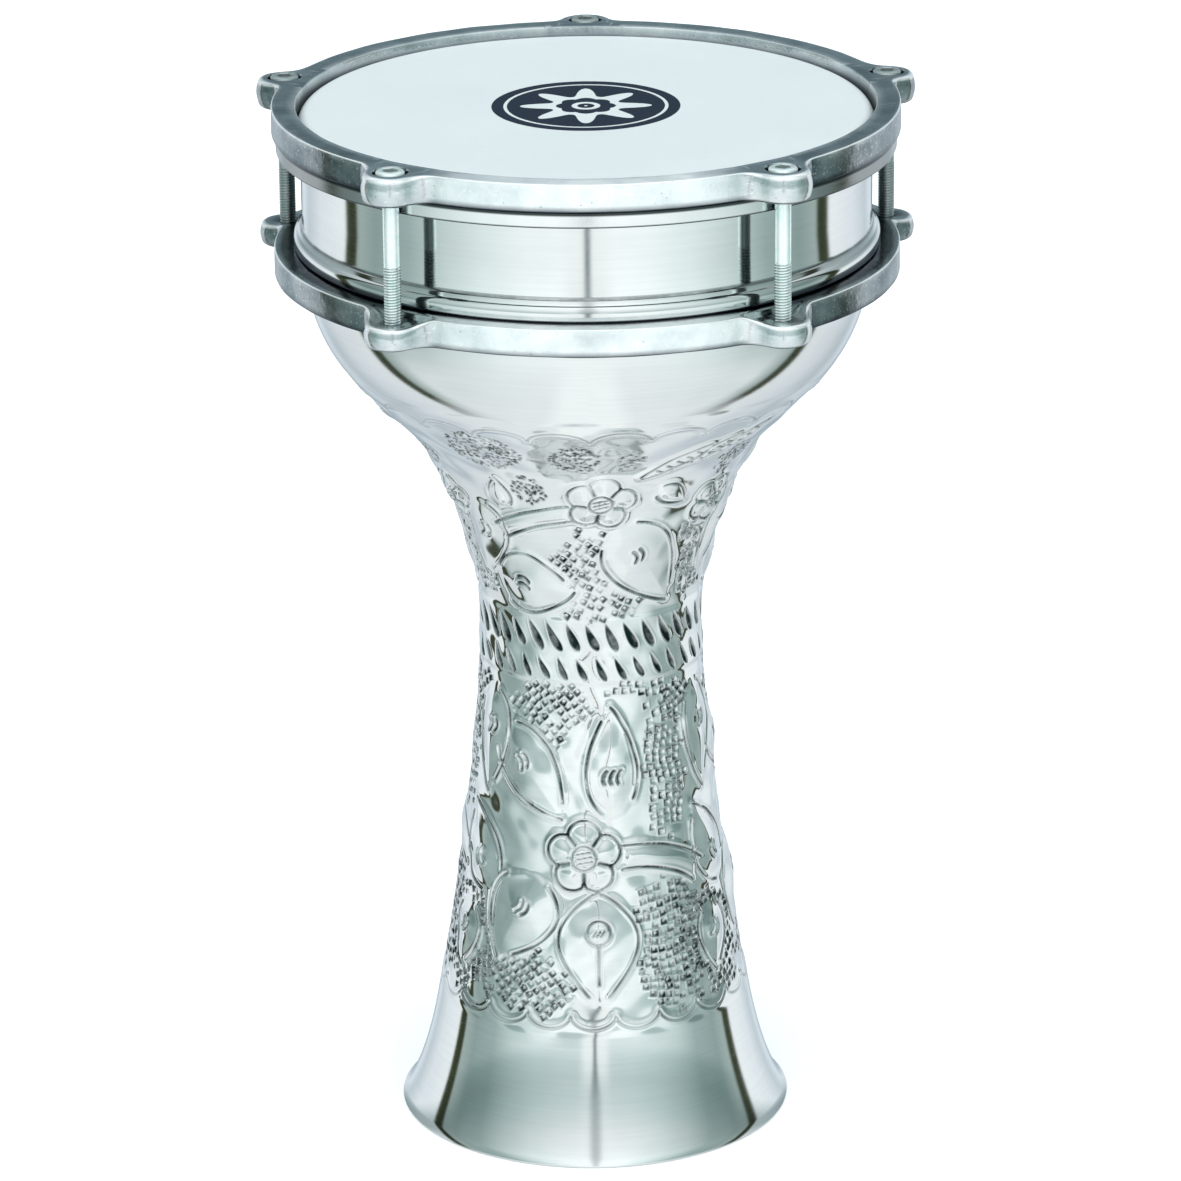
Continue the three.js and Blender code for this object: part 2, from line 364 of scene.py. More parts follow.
def cast_aluminium(nodes, position):
    """Tumbled casting: painted highlights along the edges, semi-matt faces with ripples, pits and
    scratches, painted shade in crevices and on the flanks, and a front made matt so that it shows lighter.
    """
    clouds = nodes.noise(position, 70, 4, 0.6)
    grain = nodes.noise(position, 1300, 3, 0.7)
    scratches = nodes.noise(nodes.stretched(position, (240, 1100, 900)), 1, 3, 0.75)
    scratches = nodes.range(scratches, 0.60, 0.68, 0, 0.7)
    cells = nodes.add("ShaderNodeTexVoronoi", {"Vector": position, "Scale": 520}).outputs["Distance"]
    some = nodes.range(nodes.noise(position, 230, 2), 0.52, 0.6, 0, 1)
    pits = nodes.product(nodes.range(cells, 0.06, 0.16, 1, 0), some)
    edge = nodes.attribute("edge")
    # Painted shade on the flanks away from the front
    flank_shade = nodes.product(nodes.attribute("painted_flank_shade"), nodes.range(clouds, 0.35, 0.65, 1, 0.7))
    shade = nodes.ramp(clouds, [(0.32, (0.66, 0.72, 0.74)), (0.68, WORN_COLOUR)])
    shade = nodes.mix(flank_shade, shade, (0.10, 0.14, 0.16))
    shade = nodes.mix(scratches, shade, WORN_COLOUR)
    # Painted highlight along the rounded edges
    shade = nodes.mix(edge, shade, (0.95, 0.97, 0.98))
    shade = nodes.mix(pits, shade, (0.20, 0.24, 0.26))
    ripples = nodes.bump(clouds, 0.5, 0.0007)
    grained = nodes.bump(grain, 0.18, 0.00008, ripples)
    # The front and the edges made matt so that they show lighter: painted light
    matt = nodes.math("MAXIMUM", nodes.attribute("satin"), nodes.product(edge, 0.5))
    return {
        # Painted shade in crevices and holes, from the recess layer
        "Base Color": nodes.mix(nodes.attribute("recess"), shade, (0.012, 0.020, 0.040)),
        "Roughness": nodes.math("ADD", nodes.spread(clouds, 0.14, 0.24), nodes.product(pits, 0.2)),
        "Normal": nodes.bump(pits, 0.5, -0.0001, grained),
        "Metallic": nodes.range(matt, 0, 1, 1, 0.15),
    }


def drawn_aluminium(nodes, position):
    """The head's channel: semi-matt, with marks that run round it and painted shade in its corners."""
    marks = nodes.noise(nodes.stretched(turning(nodes, position), (3, 3500, 900)), 1, 3, 0.6)
    shade = nodes.tones(nodes.noise(position, 40), grey(0.82, COOL), grey(0.94, COOL))
    return {
        "Base Color": nodes.mix(nodes.attribute("recess"), shade, PAINTED_SHADE_COLOUR),
        "Roughness": nodes.spread(marks, 0.14, 0.24),
        "Normal": nodes.bump(marks, 0.2, 0.00005),
        "Metallic": 1,
    }


def zinc_steel(nodes, position):
    """Bright zinc plating with the faint blue-green film that passivation leaves, and painted shade in the
    thread roots, the socket, on the side facing the collar and on the screws away from the front.
    """
    stops = [(0.3, (0.74, 0.93, 0.90)), (0.5, (0.92, 0.99, 0.98)), (0.7, (0.82, 0.94, 0.96))]
    plating = nodes.ramp(nodes.noise(position, 150), stops)
    grain = nodes.noise(position, 2500, 2)
    return {
        "Base Color": nodes.mix(nodes.attribute("recess"), plating, (0.02, 0.045, 0.045)),
        "Roughness": nodes.spread(grain, 0.10, 0.18),
        "Normal": nodes.bump(grain, 0.12, 0.00003),
        "Metallic": 0.64,
    }


def head_film(nodes, position):
    """Milky plastic film, smooth, with the faint clouding and orange peel of its moulding."""
    peel = nodes.noise(position, 420, 2)
    return {
        "Base Color": nodes.tones(nodes.noise(position, 22), (0.60, 0.645, 0.655), (0.625, 0.67, 0.68)),
        "Roughness": nodes.spread(peel, 0.3, 0.38),
        "Normal": nodes.bump(peel, 0.08, 0.00005),
        "IOR": 1.5,
        "Subsurface Weight": 0.15,
        "Subsurface Radius": (0.002, 0.002, 0.002),
    }


def emblem_ink(nodes, position):
    """Screen-printed navy ink on the film."""
    speckle = nodes.noise(position, 900, 2)
    return {
        "Base Color": nodes.tones(speckle, (0.003, 0.006, 0.018), (0.005, 0.010, 0.027)),
        "Roughness": nodes.spread(speckle, 0.35, 0.45),
        "Specular IOR Level": 0.25,
    }


def cast_resin(nodes, position):
    """Cured bonding resin, smooth and slightly yellow."""
    clouds = nodes.noise(position, 70)
    return {
        "Base Color": nodes.tones(clouds, (0.62, 0.58, 0.44), (0.72, 0.69, 0.56)),
        "Roughness": nodes.spread(clouds, 0.2, 0.4),
        "Subsurface Weight": 0.3,
        "Subsurface Radius": (0.002, 0.0015, 0.001),
    }


def white_table(nodes, position):
    """The floor's matt white."""
    clouds = nodes.noise(position, 3, 2)
    return {"Base Color": nodes.tones(clouds, grey(0.96), grey(0.97)), "Roughness": 0.9}


# ---------------- shell outline
def body_outline(steps):
    """The outside of the shell from the foot to the top of the bowl, in millimetres."""
    knots = [
        (FOOT_R, SHELL_LOW.z), (FOOT_TURN_R, FOOT_TURN_Z), (WAIST_R, WAIST_Z), (THROAT_R, THROAT_Z),
        (BOWL_R, BOWL_TOP_Z),
    ]
    # From each knot and from the next one to the two control points between them
    handles = [
        ((-5.6, 7), (3, -17)), ((-7.5, 42), (1, -42)), ((-0.4, 22), (-14.5, -16.5)),
        ((16.5, 17.5), (-1.6, -29)),
    ]
    curve = [knots[:1]]
    for start, end, (leave, arrive) in zip(knots[:-1], knots[1:], handles):
        controls = np.add(start, leave), np.add(end, arrive)
        curve.append(bezier(start, *controls, end, steps)[1:])
    return np.vstack(curve)


FINE = body_outline(200)
FINE_ARC = np.concatenate([[0], np.cumsum(np.hypot(*np.diff(FINE, axis=0).T))])


def arc_at(z):
    return np.interp(z, FINE[:, 1], FINE_ARC)


def radius_at(z):
    return np.interp(z, FINE[:, 1], FINE[:, 0])


# ---------------- chasing on the shell
CHASED_LOW_Z = 44
CHASED_HIGH_Z = 287
CHASE_STEP = 0.42  # between rows, along the surface
COLUMNS = 780

CHASE_ARC = np.arange(arc_at(CHASED_LOW_Z), arc_at(CHASED_HIGH_Z), CHASE_STEP)
CHASE_Z = np.interp(CHASE_ARC, FINE_ARC, FINE[:, 1])
CHASE_R = np.interp(CHASE_ARC, FINE_ARC, FINE[:, 0])
ANGLES = turns(COLUMNS)
REPEATS = 3  # the whole design comes three times round the drum

LINE_W = 0.44  # half-width of a chased line
LINE_D = 0.5  # its depth
PUNCH = 1.8  # side of the square background punch
PUNCH_PITCH = 3.05
PUNCH_D = 0.34
GROUND_D = 0.45  # how far the ground is beaten down round the shapes
WAVE_H = 0.17  # of the slow waves in the beaten sheet
LINE_CLEAR = 1.7  # how far from a line no punch lands
BORDER_CLEAR = 1.4  # and how far inside a border
SKIPPED_BLOWS, STRAY_NICKS = 0.07, 0.14  # shares of the punch's blows
DOTS_PER_MM2 = 0.55
dice = random.Random(7)
noise.seed_set(7)  # or the noise would differ each run


def crossing_waves(count, around_range, up_range):
    """A few crossing ripples. around_range counts waves round the drum, and up_range is in millimetres."""
    turn, level = ANGLES[None, :], CHASE_ARC[:, None]
    waves = np.zeros((len(CHASE_ARC), COLUMNS))
    for _ in range(count):
        round_count = dice.randint(*around_range) * dice.choice((-1, 1))
        up = 2 * math.pi * level / dice.uniform(*up_range)
        waves += np.sin(round_count * turn + up + dice.uniform(0, 2 * math.pi))
    return waves / math.sqrt(count)


class Chasing:
    """Heights over the shell's outside: chased lines, raised shapes and punch marks."""

    def __init__(self):
        shape = (len(CHASE_ARC), COLUMNS)
        self.height = np.zeros(shape)
        # Painted shade, with dark patina, in the chased lines, dents and punch marks
        self.recess = np.zeros(shape)
        self.kept = np.zeros(shape)  # 1 where a shape or a border keeps the punches off
        self.open = None  # where punches may land, known once the ground is beaten down
        self.touch = np.clip(0.68 + 0.4 * crossing_waves(7, (10, 26), (12, 30)), 0.15, 1.2)

    def beat_ground(self):
        """Beats the ground down, softly from the shapes' edges, and notes where punches may land."""
        amount = 1 - self.kept
        for _ in range(int(2.5 / CHASE_STEP)):
            amount = (np.roll(amount, 1, 1) + np.roll(amount, -1, 1) + 2 * amount) / 4
            amount[1:-1] = (amount[:-2] + amount[2:] + 2 * amount[1:-1]) / 4
        self.height -= GROUND_D * amount
        self.open = amount >= 0.6

    def is_open(self, angle, z):
        column = int(round(math.radians(angle % 360) / (2 * math.pi) * COLUMNS)) % COLUMNS
        row = int(round((arc_at(z) - CHASE_ARC[0]) / CHASE_STEP))
        return 0 <= row < len(CHASE_ARC) and self.open[row, column]


class Patch:
    """The chased surface round one point, with local x and y in millimetres."""

    def __init__(self, chasing, angle, z, reach):
        turn = (ANGLES - math.radians(angle) + math.pi) % (2 * math.pi) - math.pi
        rows = np.nonzero(np.abs(CHASE_ARC - arc_at(z)) < reach)[0]
        columns = np.nonzero(np.abs(turn) * radius_at(z) * 0.75 < reach)[0]
        self.chasing = chasing
        self.place = np.ix_(rows, columns)
        self.x = turn[columns][None, :] * CHASE_R[rows][:, None]
        self.y = (CHASE_ARC[rows] - arc_at(z))[:, None] + 0 * self.x

    def turned(self, degrees):
        """The local x and y along axes that are turned by an angle."""
        c, s = math.cos(math.radians(degrees)), math.sin(math.radians(degrees))
        return self.x * c + self.y * s, self.y * c - self.x * s

    def lift(self, amount):
        self.chasing.height[self.place] += amount

    def darken(self, amount):
        self.raise_to(self.chasing.recess, amount)

    def keep(self, amount):
        self.raise_to(self.chasing.kept, amount)

    def raise_to(self, layer, amount):
        layer[self.place] = np.maximum(layer[self.place], amount)

    def line(self, points, width=LINE_W, depth=LINE_D):
        """A chased line with the small burr that the tool throws up on each side."""
        away = distance_to(self.x, self.y, points)
        groove = np.exp(-((away / width) ** 2))
        burr = np.exp(-(((away - 2.1 * width) / width) ** 2))
        self.lift(0.35 * depth * burr - depth * groove)
        # Painted shade, with dark patina, in the groove, stronger or fainter with the touch
        self.darken(2.6 * depth * self.chasing.touch[self.place] * groove)
        self.keep(away < LINE_CLEAR)

    def raised(self, outline, height, shoulder):
        """A shape that stands up from the ground and falls off over its shoulder's width."""
        away = distance_to(self.x, self.y, np.vstack([outline, outline[:1]]))
        inside = inside_of(self.x, self.y, outline)
        self.lift(np.where(inside, height * smooth(away / shoulder), 0))
        self.keep(inside)


def distance_to(x, y, points):
    nearest = np.full(x.shape, 1e9)
    for (ax, ay), (bx, by) in zip(points[:-1], points[1:]):
        dx, dy = bx - ax, by - ay
        t = np.clip(((x - ax) * dx + (y - ay) * dy) / (dx * dx + dy * dy + 1e-12), 0, 1)
        nearest = np.minimum(nearest, (x - ax - t * dx) ** 2 + (y - ay - t * dy) ** 2)
    return np.sqrt(nearest)


def inside_of(x, y, outline):
    inside = np.zeros(x.shape, bool)
    for (ax, ay), (bx, by) in zip(outline, np.roll(outline, -1, axis=0)):
        if ay != by:
            crosses = (ay > y) != (by > y)
            inside ^= crosses & (x < ax + (bx - ax) * (y - ay) / (by - ay))
    return inside


def rotated(points, degrees):
    c, s = math.cos(math.radians(degrees)), math.sin(math.radians(degrees))
    return np.asarray(points) @ np.array([[c, s], [-s, c]])


def circle(radius, level, steps):
    a = np.linspace(0, 2 * math.pi, steps + 1)
    return np.stack([radius * np.sin(a), level + radius * np.cos(a)], -1)


def sides(spine, half, level, tilt):
    """The left and the right edge of a shape, from its spine and half its width at each level."""
    return [rotated(np.stack([spine + side * half, level], -1), tilt) for side in (-1, 1)]


def leaf(chasing, angle, z, length, width, tilt, bend, veins):
    """A broad leaf with a drawn-out tip and short veins. tilt 0 points up the drum, and 90 to the left."""
    t = np.linspace(0, 1, 25)
    half = width / 2 * np.sin(np.pi * t**0.72) ** 0.8
    spine = bend * length * t**2
    level = length * (t - 0.5)
    left, right = sides(spine, half, level, tilt)
    patch = Patch(chasing, angle, z, (0.75 + abs(bend)) * length + 3)
    patch.raised(np.vstack([left, right[::-1][1:-1]]), 1.2, 0.45 * width)
    patch.line(left[1:-3])
    patch.line(right[4:])
    if width > 16:
        echo = sides(spine, 0.84 * half, level, tilt)[1]
        patch.line(echo[7:19], 0.35, 0.2)
    vein = bezier((-0.4, -2.5), (-1.3, -0.8), (-1.0, 0.9), (0.6, 2.2), 6)
    for i in range(veins):
        offset = (i - (veins - 1) / 2) * 2.6
        patch.line(rotated(vein + (offset, -0.12 * length), tilt), 0.5, 0.6)


def flower(chasing, angle, z, radius, turn):
    """A five-petalled flower with a ringed and hatched eye."""
    petals = 5
    a = np.linspace(0, 2 * math.pi, 97)
    reach = radius * (0.72 + 0.28 * np.abs(np.cos(petals * (a - math.radians(turn)) / 2)) ** 0.7)
    outline = circle(1, 0, 96) * reach[:, None]
    patch = Patch(chasing, angle, z, radius + 4)
    patch.raised(outline[:-1], 1.1, 0.45 * radius)
    patch.line(outline)
    for i in range(petals):
        b = math.radians(turn) + (i + 0.5) * 2 * math.pi / petals
        fold = [(s * radius * math.sin(b), s * radius * math.cos(b)) for s in (0.42, 0.74)]
        patch.line(np.array(fold), 0.6, 0.5)
    patch.line(circle(0.32 * radius, 0, 96), 0.45, 0.4)
    for i in (-1, 0, 1):
        hatch = np.array([(-0.2, 0.13 * i), (0.2, 0.13 * i)]) * radius
        patch.line(rotated(hatch, 12), 0.35, 0.4)


def stem(chasing, angle, z, points, gap):
    """Two chased lines side by side with a rounded band between them, along a curve in millimetres."""
    curve = bezier(*points, 16)
    left, right = offset_curve(curve, gap / 2), offset_curve(curve, -gap / 2)
    patch = Patch(chasing, angle, z, np.abs(curve).max() + gap)
    patch.raised(np.vstack([left, right[::-1]]), 0.8, gap / 2)
    patch.line(left, 0.45)
    patch.line(right, 0.45)


def vase(chasing, angle, z, height, width):
    """An upright bulb shape that the stems grow from, with a berry and a small bud on its axis."""
    t = np.linspace(0, 1, 33)
    half = width / 2 * (np.sin(math.pi * t**1.25) ** 0.8 + 0.12 * (1 - t))
    left, right = sides(0, half, height * (t - 0.5), 0)
    patch = Patch(chasing, angle, z, 0.6 * height + 4)
    patch.raised(np.vstack([right, left[::-1]]), 1.1, 0.4 * width)
    patch.line(right[2:])
    patch.line(left[2:])
    berry_z, berry_r = 0.14 * height, 4.4
    berry = circle(berry_r, berry_z, 36)
    patch.raised(berry[:-1], 0.7, 3)
    patch.line(berry, 0.45, 0.4)
    for i in (-1, 0, 1):
        tick = np.array([(1.5 * i - 0.6, berry_z - 0.8), (1.5 * i + 0.6, berry_z + 0.9)])
        patch.line(tick, 0.35, 0.5)
    patch.line(np.array([(0, berry_z - berry_r - 0.4), (0, -0.32 * height)]), 0.6, 0.35)


def feather(chasing, angle, z, length, width, tilt):
    """A long narrow raised strip with barbs."""
    t = np.linspace(0, 1, 17)
    half = width / 2 * np.sin(math.pi * np.clip(t, 0.02, 0.98)) ** 0.6
    left, right = sides(0, half, length * (t - 0.5), tilt)
    patch = Patch(chasing, angle, z, 0.6 * length + 3)
    patch.raised(np.vstack([left, right[::-1]]), 0.8, width / 2)
    patch.line(left, LINE_W, 0.4)
    patch.line(right, LINE_W, 0.4)
    for i in range(5):
        foot = length * (0.14 * i - 0.28)
        patch.line(rotated([(-0.2 * width, foot), (0.15 * width, foot + 1.6)], tilt), 0.4, 0.35)


def teardrop(chasing, angle, z, length, width, tilt):
    """A dent made by one blow of a round-ended punch: pointed at its top, broad and deep at its foot."""
    patch = Patch(chasing, angle, z, length)
    across, along = patch.turned(tilt)
    along = along / (length / 2)
    across = across - 0.35 * along**2
    up = np.clip((along + 1) / 2, 0, 1)
    half = width / 2 * (0.15 + 0.85 * np.sin(math.pi * up**0.6) ** 0.9)
    ends = np.clip(1 - along**2, 0, None) ** 0.5
    fall = ends * np.exp(-((across / half) ** 4))
    dent = fall * (1 - 0.75 * up)
    burr = np.exp(-(((np.abs(across) - half * 1.3) / 0.45) ** 2)) * ends
    patch.lift(0.2 * burr - 0.95 * dent)
    # Painted shade in the dent, darkest at its deep foot
    patch.darken(1.4 * smooth(dent * 2.4))
    patch.keep(fall > 0.01)


def scallop(depth, phase):
    """How far an arc of the border lies from its middle line. phase runs from -1 to 1 along it."""
    return depth * (0.5 - np.sqrt(1 - 0.96 * phase**2))


def border(chasing, z, count, depth, flip, offset, stroke):
    """Arcs round the drum, beyond which no punch lands. flip 1 bulges down, and -1 up."""
    span = 2 * math.pi * radius_at(z) / count
    a = np.linspace(-1, 1, 17)
    curve = np.stack([a * span * 0.5, flip * scallop(depth, a)], -1)
    pitch = 360 / count
    for i in range(count):
        patch = Patch(chasing, offset + (i + 0.5) * pitch, z, 0.6 * span + depth)
        patch.line(curve, 0.45, stroke)
    phase = ((np.degrees(ANGLES) - offset) % pitch) / pitch * 2 - 1
    edge = arc_at(z) + flip * scallop(depth, phase)
    chasing.kept[(edge[None, :] - CHASE_ARC[:, None]) * flip > -BORDER_CLEAR] = 1


def at_offset(angle, z, point):
    """The angle and height reached from a place on the surface by so many millimetres across and up."""
    level = np.interp(arc_at(z) + point[1], FINE_ARC, FINE[:, 1])
    return angle + math.degrees(point[0] / radius_at(level)), level


def nick(chasing, angle, z, width, height, dark):
    """One small dent, oval and dark."""
    patch = Patch(chasing, angle, z, 2)
    dot = np.exp(-((patch.x / width) ** 2) - (patch.y / height) ** 2)
    patch.lift(-0.26 * dot)
    # Painted shade in the dent
    patch.darken(dark * dot)


def strike(chasing, angle, z, turn, force, dark_side_angle):
    """One blow of the square ring punch, with painted shade round its edge that is darker on one side."""
    if dice.random() < SKIPPED_BLOWS or not chasing.is_open(angle, z):
        return
    patch = Patch(chasing, angle, z, 2.2)
    u, v = patch.turned(turn)
    side = np.maximum(np.abs(u), np.abs(v) * 1.1) - PUNCH / 2
    # Painted shade: one side of the mark darker than the other
    one_side_shade = np.clip(0.55 + 0.8 * (patch.x * math.cos(dark_side_angle) + patch.y * math.sin(dark_side_angle)), 0.05, 1.5)
    burr = np.exp(-(((side - 0.5) / 0.3) ** 2))
    patch.lift(PUNCH_D * force * (0.3 * burr - smooth(0.5 - side / 0.5)))
    patch.darken(force * one_side_shade * np.exp(-((side / 0.42) ** 2)))
    if dice.random() < STRAY_NICKS:
        nick(chasing, angle + dice.uniform(-1, 1), z + dice.uniform(-1, 1), 0.6, 0.4, 1.6)


def net(chasing, angle, z, width, height, tilt):
    """A patch of square punch marks in warped rows, which stop short of the shapes round it."""
    phase = dice.uniform(0, 2 * math.pi)
    dark_side_angle = dice.uniform(0, 2 * math.pi)
    for v in np.arange(-height / 2, height / 2, PUNCH_PITCH):
        for u in np.arange(-width / 2, width / 2, PUNCH_PITCH):
            if (2 * u / width) ** 4 + (2 * v / height) ** 4 > dice.uniform(0.45, 1.2):
                continue
            across = dice.uniform(-0.35, 0.35) + 0.9 * math.sin(0.25 * v + phase)
            up = dice.uniform(-0.35, 0.35) + 1.2 * math.sin(0.22 * u + 0.1 * v + phase)
            there = at_offset(angle, z, rotated([(u + across, v + up)], tilt)[0])
            turn = tilt + dice.uniform(-14, 14)
            strike(chasing, *there, turn, dice.uniform(0.35, 1.6), dark_side_angle + dice.uniform(-1, 1))


def stipple(chasing, angle, z, width, height):
    """A cloud of fine round dots."""
    for _ in range(int(DOTS_PER_MM2 * width * height)):
        u, v = dice.uniform(-1, 1), dice.uniform(-1, 1)
        if u * u + v * v > 1:
            continue
        there = at_offset(angle, z, (u * width / 2, v * height / 2))
        if chasing.is_open(*there):
            nick(chasing, *there, 0.5, 0.55, dice.uniform(0.5, 1.9))


# One repeat of the design: each shape, and then for each of its places the degrees from the middle of the
# repeat, the height and the shape's own sizes.
GARLAND = [
    (flower, [(4, 246.5, 12.8, 8), (-66, 240, 10, 20), (-4, 110, 13.6, 0)]),
    (leaf, [
        (-34, 248, 15, 9, -8, 0, 0),
        (-28, 211, 30, 24, -93, 0.06, 2),
        (24, 219, 41, 26, 208, -0.06, 2),
        (31, 247, 15, 9, 235, 0, 0),
        (71, 226, 36, 20, 170, 0.12, 2),
        (9.5, 144.5, 41, 19, 0, 0, 3),
        (-31, 139, 40, 22, 214, -0.05, 2),
        (61, 107, 34, 20, 27, 0.05, 2),
        (65, 148, 40, 18, 186, 0.1, 2),
        (-33, 85.5, 36, 28, 158, 0.05, 2),
        (56, 73, 25, 17, 168, -0.1, 2),
    ]),
    (stem, [
        (-22, 237.5, ((-15, -7), (-7, -1), (3, 2.5), (14, 4.5)), 7),
        (31, 105.5, ((-15, 4), (-5, 5), (8, 2), (17, -6)), 8.5),
    ]),
    (feather, [(27 + 9 * i, 263 + 2.5 * i, 28, 6.2, -52) for i in range(3)]),
    (vase, [(2, 77, 41, 28)]),
]
GROUND = [
    (net, [
        (4, 214, 42, 38, -32),
        (54, 222, 18, 46, 12),
        (-24, 161, 38, 26, 45),
        (26, 169.5, 31, 6.5, 0),
        (38, 140, 19, 54, 0),
        (-62, 152, 17, 40, 30),
        (33, 76, 31, 50, 0),
        (-26, 63, 26, 34, 45),
        (-62, 71, 30, 44, 20),
    ]),
    (stipple, [
        (-31, 268, 30, 24), (-22, 251, 14, 15), (-4, 267, 18, 18), (12, 266, 9, 12), (52, 258, 16, 18),
    ]),
]
# Height, number and depth of the arcs, the side they bulge to (1 is down), their turn and the line's depth
BORDERS = [(50.5, 21, 6, 1, -9, 0.24), (278, 24, 7, -1, 0, 0.18)]
WAIST_MARKS = 36
WAIST_BAND = (173.5, 197.5)
WAIST_ROWS = ((0, 191, 12, 2.7), (4.5, 179, 9.5, 2.0))  # turn, height, length and width of the teardrops
WAIST_TILT = 25


def draw(chasing, design):
    """Every shape of a design at each of its places, in each repeat."""
    for i in range(REPEATS):
        for shape, places in design:
            for turn, z, *sizes in places:
                shape(chasing, i * 360 / REPEATS + turn, z, *sizes)


def waist(chasing):
    """Two rows of leaning teardrops."""
    for i in range(WAIST_MARKS):
        for turn, z, length, width in WAIST_ROWS:
            uneven = length + dice.uniform(-1, 1)
            tilt = WAIST_TILT + dice.uniform(-3, 3)
            teardrop(chasing, i * 360 / WAIST_MARKS + turn, z, uneven, width, tilt)
    chasing.kept[(CHASE_Z > WAIST_BAND[0]) & (CHASE_Z < WAIST_BAND[1])] = 1


def chased_surface():
    """Height and darkness of the chased work, by row and column."""
    chasing = Chasing()
    chasing.height += WAVE_H * crossing_waves(7, (9, 26), (13, 34))  # as hand work leaves the sheet
    draw(chasing, GARLAND)
    waist(chasing)
    for sizes in BORDERS:
        border(chasing, *sizes)
    chasing.beat_ground()
    draw(chasing, GROUND)
    fade = smooth((CHASE_ARC - CHASE_ARC[0]) / 3) * smooth((CHASE_ARC[-1] - CHASE_ARC) / 3)
    return chasing.height * fade[:, None], np.clip(chasing.recess, 0, 1) * fade[:, None]


# ---------------- shell
def shell_rows():
    """The (r, z) outline of the shell's section, and the row where the chased part starts."""
    body = body_outline(24)
    below = body[body[:, 1] < CHASE_Z[0] - 0.5]
    above = body[body[:, 1] > CHASE_Z[-1] + 0.5]
    chased = np.stack([CHASE_R, CHASE_Z], -1)
    rim = 0.8  # the foot's edge is rounded over
    foot_edge = arc(FOOT_R - rim, rim, rim, -90, 0, 4)
    shoulder = [(BOWL_R, SHOULDER_BASE_Z - 0.6), (BOWL_R + 0.6, SHOULDER_BASE_Z)]
    shoulder += arc(SHOULDER_R - 1, SHOULDER_BASE_Z + 1, 1, -90, 0, 4)
    shoulder += arc(SHOULDER_R - 3.2, SHOULDER_TOP_Z - 4.2, 3.2, 0, 62, 6)
    shoulder += arc(COLLAR_R + 1.7, SHOULDER_TOP_Z + 1.3, 1.7, 242, 180, 5)
    roll_r = COLLAR_R - EDGE_ROLL_R
    edge = [(COLLAR_R, z) for z in (345, 355)]
    edge += arc(roll_r, EDGE_ROLL_Z, EDGE_ROLL_R, 0, 125, 14)
    edge += arc(roll_r, EDGE_ROLL_Z, EDGE_ROLL_R - WALL, 125, 0, 8)
    inside = [(COLLAR_R - WALL, SHOULDER_TOP_Z), (BOWL_R - WALL, SHOULDER_BASE_Z - 3)]
    inner = offset_curve(body_outline(12), WALL)[::-1]
    inner = inner[inner[:, 1] > 2.5]
    foot_inside = [(FOOT_R - 1.9, 0)]
    below = below[below[:, 1] > 1.5]
    outline = np.vstack([foot_edge, below, chased, above, shoulder, edge, inside, inner, foot_inside])
    return outline, len(foot_edge) + len(below)


def painted_corner_shade(outline):
    """Painted shade in the two corners of the shoulder: against the collar, and where the lower ring bears.
    """
    r, z = outline[:, 0], outline[:, 1]
    top_corner = np.exp(-(((z - SHOULDER_TOP_Z - 0.4) / 0.5) ** 2)) * (r < COLLAR_R + 1.5)
    under = (z < SHOULDER_BASE_Z + 0.4) & (z > SHOULDER_BASE_Z - 2)
    return np.where(r > COLLAR_R - 1, 0.7 * top_corner + 0.9 * under, 0)


def make_shell():
    outline, start = shell_rows()
    height, recess = chased_surface()
    end = start + len(CHASE_ARC)
    rows = len(outline)
    section = np.repeat(outline[:, None, :], COLUMNS, 1)
    chased = outline[start:end]
    outward = chased - offset_curve(chased, 1)
    section[start:end] += outward[:, None, :] * height[:, :, None]
    points = around(section[:, :, 0], section[:, :, 1], ANGLES)
    shell = mesh_object("shell_chased", points.reshape(-1, 3), grid_faces(rows, COLUMNS, True))
    # Painted shade: in the chased work, and in the shoulder's corners above it
    dark = np.zeros((rows, COLUMNS))
    dark[start:end] = recess
    dark[end:] = painted_corner_shade(outline[end:])[:, None]
    paint(shell, "recess", dark)
    return sharpen(shell, 60)


# ---------------- cast rings
RING_COLUMNS = 900
RING_ANGLES = turns(RING_COLUMNS)
LUG_ANGLES = [math.radians(FIRST_LUG + i * 360 / LUG_COUNT) for i in range(LUG_COUNT)]
CAST_EDGE_R = 0.55
UPPER_LUG_EDGE, LOWER_LUG_EDGE = 1.5, 1.2  # how much rounder the edges of the lugs are
UPPER_LUG_DROP, LOWER_LUG_DROP = 0.35, 2.4  # how far the lugs' tops lie under the ring's
WOBBLE, WOBBLE_SCALE = 0.12, 0.09  # how far the cast faces drift, and the drift's waves per millimetre
SHADE_LINE_H = 0.9  # height of the painted shade line along the bottom edge of a ring
FLANK_START = 0.42  # radians from the front at which painted shade starts on the castings' flanks


